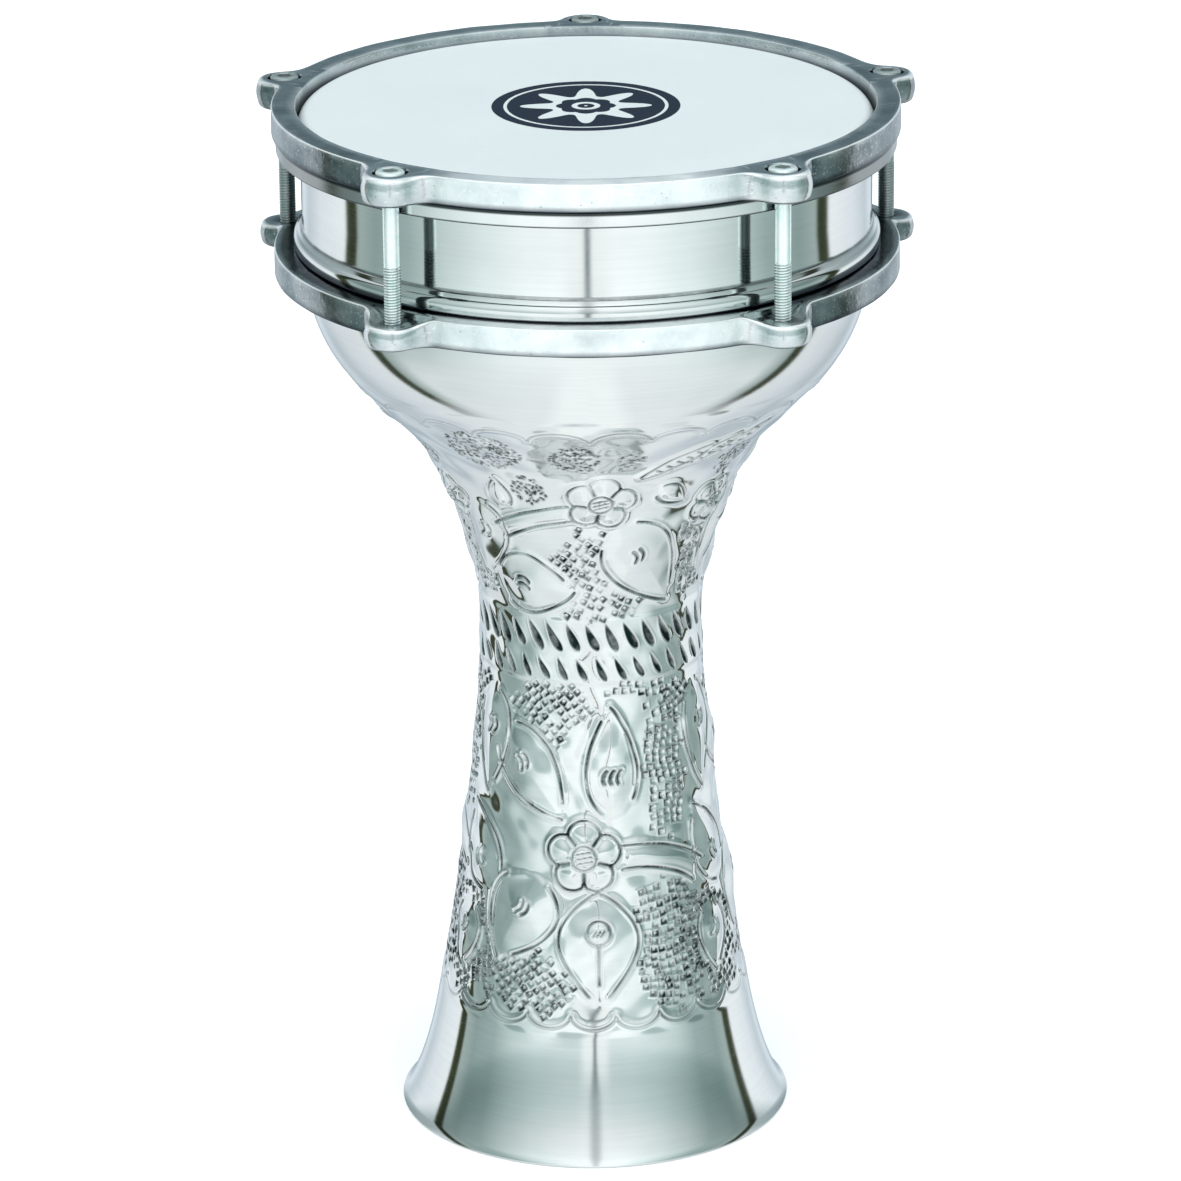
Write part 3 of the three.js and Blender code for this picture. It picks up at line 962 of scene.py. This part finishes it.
def lugged_outline():
    """Outer radius of the lugged ring at each angle, and how much of a lug is there (0 to 1)."""
    to_fillet, lug_to_fillet = RING_R + LUG_FILLET_R, LUG_R + LUG_FILLET_R
    cosine = (to_fillet**2 + LUG_CIRCLE_R**2 - lug_to_fillet**2) / (2 * to_fillet * LUG_CIRCLE_R)
    spread = math.acos(cosine)
    radius = np.full(RING_COLUMNS, float(RING_R))
    amount = np.zeros(RING_COLUMNS)
    junction = math.atan2(
        to_fillet * math.sin(spread) * LUG_R / lug_to_fillet,
        LUG_CIRCLE_R + (to_fillet * math.cos(spread) - LUG_CIRCLE_R) * LUG_R / lug_to_fillet,
    )
    for centre in LUG_ANGLES:
        turn = np.abs((RING_ANGLES - centre + math.pi) % (2 * math.pi) - math.pi)
        on_fillet = (turn < spread) & (turn >= junction)
        on_lug = turn < junction
        off = spread - turn
        inner = np.sqrt(np.clip(LUG_FILLET_R**2 - (to_fillet * np.sin(off)) ** 2, 0, None))
        outer = np.sqrt(np.clip(LUG_R**2 - (LUG_CIRCLE_R * np.sin(turn)) ** 2, 0, None))
        radius = np.where(on_fillet, to_fillet * np.cos(off) - inner, radius)
        radius = np.where(on_lug, LUG_CIRCLE_R * np.cos(turn) + outer, radius)
        amount = np.maximum(amount, smooth((spread * 0.95 - turn) / (spread * 0.55)))
    return radius, amount


RING_OUTER, LUG_SHARE = lugged_outline()


def cast_ring(name, rows, wobble_seed):
    """A ring from rows of (inset from the outline, or a fixed radius, and a height), each by column."""
    rim = around(RING_OUTER, 0, RING_ANGLES)[:, :2]
    along = np.roll(rim, -1, 0) - np.roll(rim, 1, 0)
    along /= np.linalg.norm(along, axis=1)[:, None]
    outward = np.stack([along[:, 1], -along[:, 0]], -1)
    points = []
    for kind, value, z in rows:
        if kind == "inset":
            flat = rim - outward * np.asarray(value).reshape(-1, 1)
        else:
            flat = around(value, 0, RING_ANGLES)[:, :2]
        points.append(np.column_stack([flat, z + 0 * RING_ANGLES]))
    points = np.array(points).reshape(-1, 3)
    for p in points:
        drift = noise.noise_vector(Vector(p * WOBBLE_SCALE) + Vector((wobble_seed, 0, 0)))
        p += np.array(drift) * WOBBLE
    return mesh_object(name, points, grid_faces(len(rows), RING_COLUMNS, True))


def edge_rows(radius, low, high, bulge):
    """The outer side of a casting: rounded bottom edge, slightly barrelled wall, rounded top edge."""
    quarter = np.radians(np.linspace(0, 90, 5))
    inward = [radius * (1 - math.sin(a)) for a in quarter]
    upward = [radius * (1 - math.cos(a)) for a in quarter]
    rows = [("inset", inset, low + rise) for inset, rise in zip(inward, upward)]
    for t in np.linspace(0, 1, 6)[1:-1]:
        z = low + radius + (high - low - 2 * radius) * t
        rows.append(("inset", -bulge * 4 * t * (1 - t), z))
    return rows + [("inset", inset, high - rise) for inset, rise in zip(inward[::-1], upward[::-1])]


def radius_rows(*places):
    """Rows at fixed radii and heights."""
    return [("radius", r, z) for r, z in places]


def lug_centre(angle):
    """The point of a screw's axis at height 0."""
    return around(LUG_CIRCLE_R, 0, angle)


def cut_at_lugs(ring, outline):
    """Cuts a turned outline out of each lug."""
    points, faces = turned_tool(outline, 48)
    for angle in LUG_ANGLES:
        cut(ring, mesh_object("cutter", points + lug_centre(angle), faces))


def off_lug_axis(p):
    """Distance of each vertex from the nearest screw's axis."""
    return np.min([off_axis(p - lug_centre(a)) for a in LUG_ANGLES], axis=0)


def paint_ring_light_and_shade(ring, low, high, lug_drop, lug_edge):
    """Painted highlights on a ring's edges, painted shade along its bottom edge and on its flanks, and a
    front made matt so that it shows lighter, from where each vertex lies.
    """
    p = vertices_mm(ring)
    turn = np.arctan2(p[:, 0], -p[:, 1]) % (2 * math.pi)
    r, z = off_axis(p), p[:, 2]
    inset = np.interp(turn, RING_ANGLES, RING_OUTER, period=2 * math.pi) - r
    lug = np.interp(turn, RING_ANGLES, LUG_SHARE, period=2 * math.pi)
    corner = CAST_EDGE_R + lug_edge * lug
    drop = high - lug_drop * lug - z
    # Painted highlight along the rounded edges
    edge = smooth(1.5 - 1.5 * np.maximum(inset, drop) / (1.15 * corner))
    # Painted shade: a dark line along the bottom edge
    bottom = smooth(1.3 - (z - low + 0.8 * lug) / SHADE_LINE_H) * smooth(inset + 1.2)
    side = off_front(p)
    wall = smooth(drop / 0.8) * smooth((r - RING_R + 2) / 1.5)
    # Painted shade on the flanks away from the front, less on the front lugs
    flank = smooth((side - FLANK_START) / 0.25) * (1 - 0.5 * smooth((side - 1.6) / 0.6))
    front_lug = lug * (side < 1.2)
    paint(ring, "painted_flank_shade", 0.92 * flank * (0.6 + 0.4 * wall) * (1 - 0.85 * front_lug))
    # The front made matt so that it shows lighter: painted light
    front = 1 - smooth((side - 0.30) / 0.28)
    paint(ring, "satin", 0.68 * front * (1 - lug))
    return p, inset, edge, bottom


def make_upper_ring():
    low, high, lug = UPPER_LOW.z, UPPER_HIGH.z, LUG_SHARE
    bore = UPPER_BORE_R
    edge_r = CAST_EDGE_R + UPPER_LUG_EDGE * lug
    rows = radius_rows((RELIEF_R, low), (RELIEF_R + 1.2, low))
    rows += edge_rows(edge_r, low - 0.9 * lug + 0.05, high - UPPER_LUG_DROP * lug, 0.5 * lug)
    rows += radius_rows((108.2, high - 0.1 * lug), (105, high), (bore + 0.6, high))
    rows += radius_rows((bore + 0.18, high - 0.18), (bore, high - 0.6))
    rows += radius_rows((bore, RELIEF_Z + 0.4), (bore + 0.4, RELIEF_Z), (RELIEF_R, RELIEF_Z))
    ring = cast_ring("upper_ring_cast", rows, 0)
    hole_r, counterbore_r, mouth_r = 3.4, 5.85, 6.5
    seat = SCREW_HIGH.z - SCREW_HEAD_H - 0.2
    cut_at_lugs(ring, [
        (0, low - 3), (hole_r, low - 3), (hole_r, seat), (counterbore_r, seat), (counterbore_r, high - 0.9),
        (mouth_r, high + 0.1), (mouth_r, high + 3), (0, high + 3),
    ])
    p, inset, edge, bottom = paint_ring_light_and_shade(ring, low, high, UPPER_LUG_DROP, UPPER_LUG_EDGE)
    z = p[:, 2]
    # Painted shade in the counterbores and on the inside above the film
    counterbore = (off_lug_axis(p) < 6.2) & (z < high - 0.5)
    above_film = smooth(1.4 - (z - RELIEF_Z) / 1.2) * (inset > 8)
    # Painted highlight along the bore's top edge
    inner_edge = smooth(1 - np.abs(inset - RING_R + bore + 0.3) / 0.6) * (z > high - 0.7)
    paint(ring, "edge", edge + 0.6 * inner_edge)
    paint(ring, "recess", np.maximum.reduce([bottom, counterbore, above_film]))
    return sharpen(ring, 40)


def make_lower_ring():
    low, high, lug = LOWER_LOW.z, LOWER_HIGH.z, LUG_SHARE
    bore = LOWER_BORE_R
    lug_top = high - LOWER_LUG_DROP * lug
    edge_r = CAST_EDGE_R + LOWER_LUG_EDGE * lug
    rows = radius_rows((bore + 0.5, low), (106, low))
    rows += edge_rows(edge_r, low - 0.7 * lug + 0.05, lug_top, 0.4 * lug)
    rows += radius_rows((108.9, lug_top + 0.1 * lug), (107.0, lug_top + 0.2 * lug))
    rows += radius_rows((106.5, high - 0.25 * lug), (106, high), (104.6, high), (103.4, high))
    rows += radius_rows((bore + 0.5, high), (bore, high - 0.5), (bore, low + 0.5))
    ring = cast_ring("lower_ring_cast", rows, 40)
    hole_r, mouth_r = 3.15, 3.9
    cut_at_lugs(ring, [
        (0, low - 3), (hole_r, low - 3), (hole_r, high - 2.9), (mouth_r, high - 2.2), (mouth_r, high + 2),
        (0, high + 2),
    ])
    p, _, edge, bottom = paint_ring_light_and_shade(ring, low, high, LOWER_LUG_DROP, LOWER_LUG_EDGE)
    z = p[:, 2]
    # Painted shade on the top under the shoulder, wider towards the sides, and round the screws
    shade_r = SHOULDER_R + 1.4 + 4.4 * smooth((off_front(p) - 0.4) / 0.5)
    shaded = smooth((shade_r - off_axis(p)) / 1.2) * (z > high - 3)
    round_screws = smooth((6.5 - off_lug_axis(p)) / 2.5) * (z > high - 3.5)
    paint(ring, "edge", edge)
    paint(ring, "recess", np.maximum.reduce([bottom, 0.95 * shaded, 0.8 * round_screws]))
    return sharpen(ring, 40)


# ---------------- head
def film_profile(radius):
    """One side of the film, from the flat over the bearing edge and down its collar."""
    roll_r = COLLAR_R - EDGE_ROLL_R
    over = arc(roll_r, EDGE_ROLL_Z, radius, 90, math.degrees(COLLAR_SLOPE), 14)
    last_r, last_z = over[-1]
    end_z = FILM_LOW.z
    middle_z = (last_z + end_z) / 2
    slope = math.tan(COLLAR_SLOPE)
    down = [(last_r + (last_z - z) * slope, z) for z in (middle_z, end_z)]
    return over + down


EMBLEM_POINTS = 8
# Bands of the emblem that are inked, counted from the middle: eye ring, field inside and outside the star
# and outer rim. The star itself and the thin rings stay white.
EMBLEM_INK_ROWS = (0, 2, 4, 6)


def emblem_rings(angles):
    """Radii, by angle, of the lines between ink and film, from the middle outwards."""
    wave = np.abs(np.cos(EMBLEM_POINTS * angles / 2))
    star_in = 9.0 + 1.5 * wave
    star_out = 12.5 + 10.5 * wave**3
    return [3.0, 5.0, star_in, star_out, 27.6, 28.8, EMBLEM_R]


def make_film():
    """The film as a closed sheet from its middle over the bearing edge and back underneath."""
    columns = 384
    angles = turns(columns)
    top_z = FILM_HIGH.z
    under_r = top_z - FILM - EDGE_ROLL_Z
    middle_r = 0.6
    top = [(r, top_z) for r in (middle_r, *emblem_rings(angles), 50, 75)]
    under = [(r, top_z - FILM) for r in (60, 20, middle_r)]
    section = top + film_profile(under_r + FILM) + film_profile(under_r)[::-1] + under
    grid = np.array([around(r, z, angles) for r, z in section]).reshape(-1, 3)
    rows = len(section)
    faces = [face[::-1] for face in grid_faces(rows, columns, False)]
    faces.append(list(range(columns)))
    faces.append(list(range((rows - 1) * columns, rows * columns))[::-1])
    film = mesh_object("head_film_printed", grid, faces)
    film.data.materials.append(new_material(head_film))
    film.data.materials.append(new_material(emblem_ink))
    for polygon in film.data.polygons[: columns * (len(top) - 1)]:
        if polygon.index // columns in EMBLEM_INK_ROWS:
            polygon.material_index = 1
    return film


def make_channel():
    """The head's hoop, with painted shade at the foot and the head of its wall and towards the drum's
    sides.
    """
    low, high = CHANNEL_LOW.z, CHANNEL_HIGH.z
    inner, outer = 101.2, -CHANNEL_LOW.x
    lip, wall, edge_r = 365, 1, 0.45  # the inner wall's top, the sheet and the rounding of its bottom edges
    outline = arc(inner + edge_r, low + edge_r, edge_r, 180, 270, 4)
    outline += arc(outer - edge_r, low + edge_r, edge_r, 270, 360, 5)
    outline += [(outer, low + 0.8), (outer, high - 1.6), (outer, high - 1.0)]
    outline += arc(outer - wall / 2, high - wall / 2, wall / 2, 0, 180, 8)
    outline += [(outer - wall, low + wall), (inner + wall, low + wall)]
    outline += arc(inner + wall / 2, lip - wall / 2, wall / 2, 0, 180, 6)
    channel = lathe("head_channel_drawn", outline, 360)
    p = vertices_mm(channel)
    z = p[:, 2]
    # Painted shade at the foot and the head of the wall, and towards the sides
    lines = 0.95 * (smooth((low + 0.8 - z) / 0.5) + smooth((z - high + 1.6) / 0.6))
    flank = 0.6 * smooth((off_front(p) - 0.55) / 0.35)
    paint(channel, "recess", np.maximum(lines, flank))
    return sharpen(channel, 40)


def make_resin():
    """The resin's surface climbs a little where it wets the channel and the film."""
    low, high = RESIN_LOW.z, RESIN_HIGH.z
    outer, inner = -RESIN_LOW.x, 102.4
    outline = [(inner, low), (outer, low), (outer, high)]
    outline += [(outer - 0.6, high - 0.35), (outer - 1.6, high - 0.5), (inner + 1.2, high - 0.5)]
    outline += [(inner + 0.4, high - 0.3), (inner, high - 0.05)]
    return sharpen(lathe("head_resin_poured", outline, 256), 50)


# ---------------- tension screws
THREAD_R, THREAD_ROOT_R = 2.95, 2.45
SHANK_R = THREAD_R - 0.12
THREAD_TOP_Z = 344
PITCH = 1
SOCKET_AF = 5
SOCKET_R = SOCKET_AF / math.sqrt(3)  # to the hexagon's corners


def thread_rows(angles, tip_z):
    """Radii, by angle, and heights of the thread, which fades out at the tip and under the shank."""
    per_pitch = 8
    rows = []
    for z in np.arange(tip_z + 0.3, THREAD_TOP_Z, PITCH / per_pitch):
        phase = (z / PITCH - angles / (2 * math.pi)) % 1
        crest = 1 - np.abs(2 * phase - 1)
        depth = smooth((z - tip_z) / 1.6) * smooth((THREAD_TOP_Z - z) / 1.5)
        tooth = THREAD_ROOT_R + (THREAD_R - THREAD_ROOT_R) * smooth(crest * 1.35 - 0.12)
        plain = SHANK_R if z > tip_z + 2 else THREAD_ROOT_R - 0.1
        rows.append((tooth * depth + plain * (1 - depth), z))
    return [(rows[0][0] - 0.5, tip_z)] + rows


def screw_mesh():
    """One screw about its own axis: thread, plain shank and a round head."""
    columns = 36
    angles = turns(columns)
    top_z = SCREW_HIGH.z
    head_z = top_z - SCREW_HEAD_H
    profile = [(SHANK_R, THREAD_TOP_Z + 0.3), (SHANK_R, head_z - 0.35), (THREAD_R + 0.25, head_z)]
    profile += arc(SCREW_HEAD_R - 0.3, head_z + 0.3, 0.3, 270, 360, 3)
    profile += arc(SCREW_HEAD_R - 1.1, top_z - 1.25, 1.1, 0, 70, 5)
    profile += [(3.6, top_z - 0.04), (3.25, top_z)]
    rows = thread_rows(angles, SCREW_LOW.z) + profile
    grid = np.array([around(r, z, angles) for r, z in rows]).reshape(-1, 3)
    faces = grid_faces(len(rows), columns, False)
    faces.append(list(range(columns))[::-1])
    faces.append([(len(rows) - 1) * columns + j for j in range(columns)])
    return grid, faces


def socket_tool(degrees):
    """The hexagon socket as a solid to cut away, turned by an angle."""
    top = SCREW_HIGH.z
    points, faces = turned_tool([
        (0, top - 3.6), (SOCKET_R * 0.5, top - 3.2), (SOCKET_R, top - 3), (SOCKET_R, top - 0.35),
        (SOCKET_R + 0.45, top + 0.1), (SOCKET_R + 0.45, top + 1), (0, top + 1),
    ], 6)
    points[:, :2] = rotated(points[:, :2], degrees)
    return points, faces


def make_screw(index, angle):
    centre = lug_centre(angle)
    grid, faces = screw_mesh()
    screw = mesh_object(f"screw_{index}_m6", grid + centre, faces)
    points, tool_faces = socket_tool(17 * index)
    cut(screw, mesh_object("cutter", points + centre, tool_faces))
    p = vertices_mm(screw) - centre
    r, z = off_axis(p), p[:, 2]
    top = SCREW_HIGH.z
    # Painted shade in the thread roots and the socket, on the side facing the collar, and on the screws
    # away from the front
    roots = 0.75 * (THREAD_R - 0.15 - r) / (THREAD_R - THREAD_ROOT_R) * (z < THREAD_TOP_Z)
    socket = (r < SOCKET_R + 0.1) & (z < top - 0.25) & (z > top - 4)
    outward = p @ centre / (LUG_CIRCLE_R * (r + 0.01))  # cosine from the drum's axis: -1 faces the collar
    inward = smooth((-0.15 - outward) / 0.5) * (z < top - SCREW_HEAD_H)
    away_shade = 0.6 * smooth(-3 * math.cos(angle))  # the screws away from the front are less bright
    paint(screw, "recess", np.maximum.reduce([roots, 0.45 * socket, 0.9 * inward, away_shade + 0 * r]))
    return sharpen(screw, 32)


# ---------------- putting it together
def dress(piece, node, material=None, body=None):
    """Puts a piece in its CAD node's place, on its body."""
    if material is not None:
        piece.data.materials.clear()
        piece.data.materials.append(material)
    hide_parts(node)
    if body is not None:
        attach(piece, body)


def build_drum():
    cast, zinc = new_material(cast_aluminium), new_material(zinc_steel)
    dress(make_shell(), "shell", new_material(polished_aluminium), "shell")
    dress(make_lower_ring(), "lower_ring", cast, "shell")
    dress(make_upper_ring(), "upper_ring", cast, "tension_hoop")
    dress(make_channel(), "head_channel", new_material(drawn_aluminium), "tension_hoop")
    dress(make_resin(), "head_resin", new_material(cast_resin), "tension_hoop")
    film = make_film()
    dress(film, "head_film")
    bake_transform(film)
    for i in range(1, LUG_COUNT + 1):
        low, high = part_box(f"tension_screw_{i}")
        middle = (low + high) / 2
        screw = make_screw(i, math.atan2(middle.x, -middle.y))
        dress(screw, f"tension_screw_{i}", zinc, f"screw_{i}")


# ---------------- studio
def make_floor():
    side = 4000
    corners = np.array([(-1, -1, 0), (1, -1, 0), (1, 1, 0), (-1, 1, 0)]) * side
    floor = mesh_object("floor", corners, [(0, 1, 2, 3)])
    floor.data.materials.append(new_material(white_table))
    floor.visible_glossy = False  # the drum mirrors the light tent, not the table


# The tent's walls by degrees from the front, the same on both sides: grey panels beside the camera, a dark
# gap, and white cloth behind the drum that falls off towards the back.
TENT_WALLS = [
    (9, (0.98, 1.04, 1.05)),
    (24, (0.93, 1.00, 1.00)),
    (42, (0.78, 0.88, 0.88)),
    (60, (0.56, 0.67, 0.66)),
    (76, (0.33, 0.43, 0.42)),
    (94, (0.27, 0.36, 0.35)),
    (104.5, (0.40, 0.49, 0.47)),
    (106, (0.035, 0.045, 0.022)),
    (112, (0.045, 0.055, 0.026)),
    (114, (0.97, 1.03, 1.05)),
    (134, (0.84, 0.91, 0.96)),
    (150, (0.60, 0.69, 0.74)),
    (161, (0.76, 0.84, 0.91)),
    (171, (0.44, 0.53, 0.59)),
    (180, (0.34, 0.43, 0.48)),
]
# The same from the floor (0) over the horizon (0.5) to straight above (1): in front, and behind the drum
CLOTH = (0.9, 1.0, 1.0)
TENT_FRONT = [
    (0.1, grey(1.15)), (0.29, grey(1.15)), (0.34, grey(1.06)), (0.40, grey(1.20)), (0.452, grey(1.14)),
    (0.472, grey(0.80, CLOTH)), (0.51, grey(0.67, CLOTH)), (0.56, grey(0.73, CLOTH)), (0.66, grey(0.90)),
    (0.82, grey(1.12)), (1.0, grey(1.25)),
]
TENT_BACK = [
    (0.1, grey(0.86)), (0.27, grey(0.86)), (0.33, grey(1)), (0.5, grey(1)), (0.57, grey(0.62, CLOTH)),
    (0.62, grey(0.48, CLOTH)), (0.73, grey(0.48, CLOTH)), (0.88, grey(0.9)), (1.0, grey(1.2)),
]
WINDOW_WHITE = (1.04, 1.09, 1.09)
SLOT_GREY = (0.10, 0.15, 0.17)
TABLE_WHITE = (0.91, 0.965, 0.985)


def front_window(nodes, parts, share, height):
    """An upright white strip straight in front, as wide at the floor as above, which dims upwards."""
    strip = nodes.range(nodes.math("ABSOLUTE", parts[0]), 0.115, 0.20, 1, 0)
    ahead = nodes.range(share, 0.5, 0.55, 1, 0)
    return nodes.product(nodes.product(strip, ahead), nodes.range(height, 0.46, 0.54, 1, 0.15))


def camera_slot(nodes, share, height):
    """How much shows of the dark slot that the camera looks through, wider and fainter overhead."""
    overhead = nodes.range(height, 0.48, 0.56, 0, 1)
    narrowed = nodes.math("DIVIDE", share, nodes.range(overhead, 0, 1, 1, 3))
    narrow = nodes.range(narrowed, 0.4 / 180, 1.7 / 180, 1, 0)
    above_floor = nodes.range(height, 0.27, 0.32, 0, 1)
    return nodes.product(narrow, nodes.product(above_floor, nodes.range(overhead, 0, 1, 1, 0.5)))


def make_tent():
    """A light tent as the world, which the polished metal mirrors."""
    world = bpy.data.worlds.new("light_tent")
    bpy.context.scene.world = world
    world.use_nodes = True
    nodes = Nodes(world.node_tree)
    parts = nodes.parts(nodes.add("ShaderNodeTexCoord").outputs["Generated"])
    azimuth = nodes.math("ARCTAN2", parts[0], nodes.product(parts[1], -1))
    share = nodes.math("DIVIDE", nodes.math("ABSOLUTE", azimuth), math.pi)
    height = nodes.math("ADD", nodes.product(parts[2], 0.5), 0.5)
    walls = nodes.ramp(share, [(turn / 180, colour) for turn, colour in TENT_WALLS])
    behind = nodes.range(share, 0.5, 0.62, 0, 1)
    roof = nodes.mix(behind, nodes.ramp(height, TENT_FRONT), nodes.ramp(height, TENT_BACK))
    colour = nodes.mix(1.0, walls, roof, "MULTIPLY")
    in_front = nodes.range(share, 0.52, 0.575, 1, 0)
    near_table = nodes.product(nodes.range(height, 0.14, 0.33, 0.8, 0), in_front)
    colour = nodes.mix(near_table, colour, TABLE_WHITE)
    colour = nodes.mix(nodes.range(height, 0.02, 0.10, 1, 0), colour, TABLE_WHITE)
    colour = nodes.mix(front_window(nodes, parts, share, height), colour, WINDOW_WHITE)
    colour = nodes.mix(camera_slot(nodes, share, height), colour, SLOT_GREY)
    background = nodes.add("ShaderNodeBackground", {"Color": colour, "Strength": 1.0})
    nodes.add("ShaderNodeOutputWorld", {0: background.outputs[0]})


def make_roof_light():
    """Even, very soft light from above. The metal doesn't mirror it."""
    data = bpy.data.lights.new("roof_light", "SUN")
    data.energy = 2.5
    data.angle = math.radians(100)
    light = new_object("roof_light", data)
    light.rotation_euler.x = math.radians(12)
    light.visible_glossy = False


CAMERA_PLACE = (0, -2.1495, 0.95656)
CAMERA_LOOKS_DOWN = 19.519
CAMERA_ROLL = -0.543


def make_camera():
    data = bpy.data.cameras.new("camera")
    data.sensor_width = 36
    data.lens = 194.06
    data.clip_end = 50
    camera = new_object("camera", data)
    pitch = Matrix.Rotation(math.radians(90 - CAMERA_LOOKS_DOWN), 4, "X")
    roll = Matrix.Rotation(math.radians(CAMERA_ROLL), 4, "Z")
    camera.matrix_world = Matrix.Translation(CAMERA_PLACE) @ pitch @ roll
    bpy.context.scene.camera = camera


def make_studio():
    make_floor()
    make_tent()
    make_roof_light()
    make_camera()
    bpy.context.scene.view_settings.view_transform = "Standard"


build_drum()
make_studio()
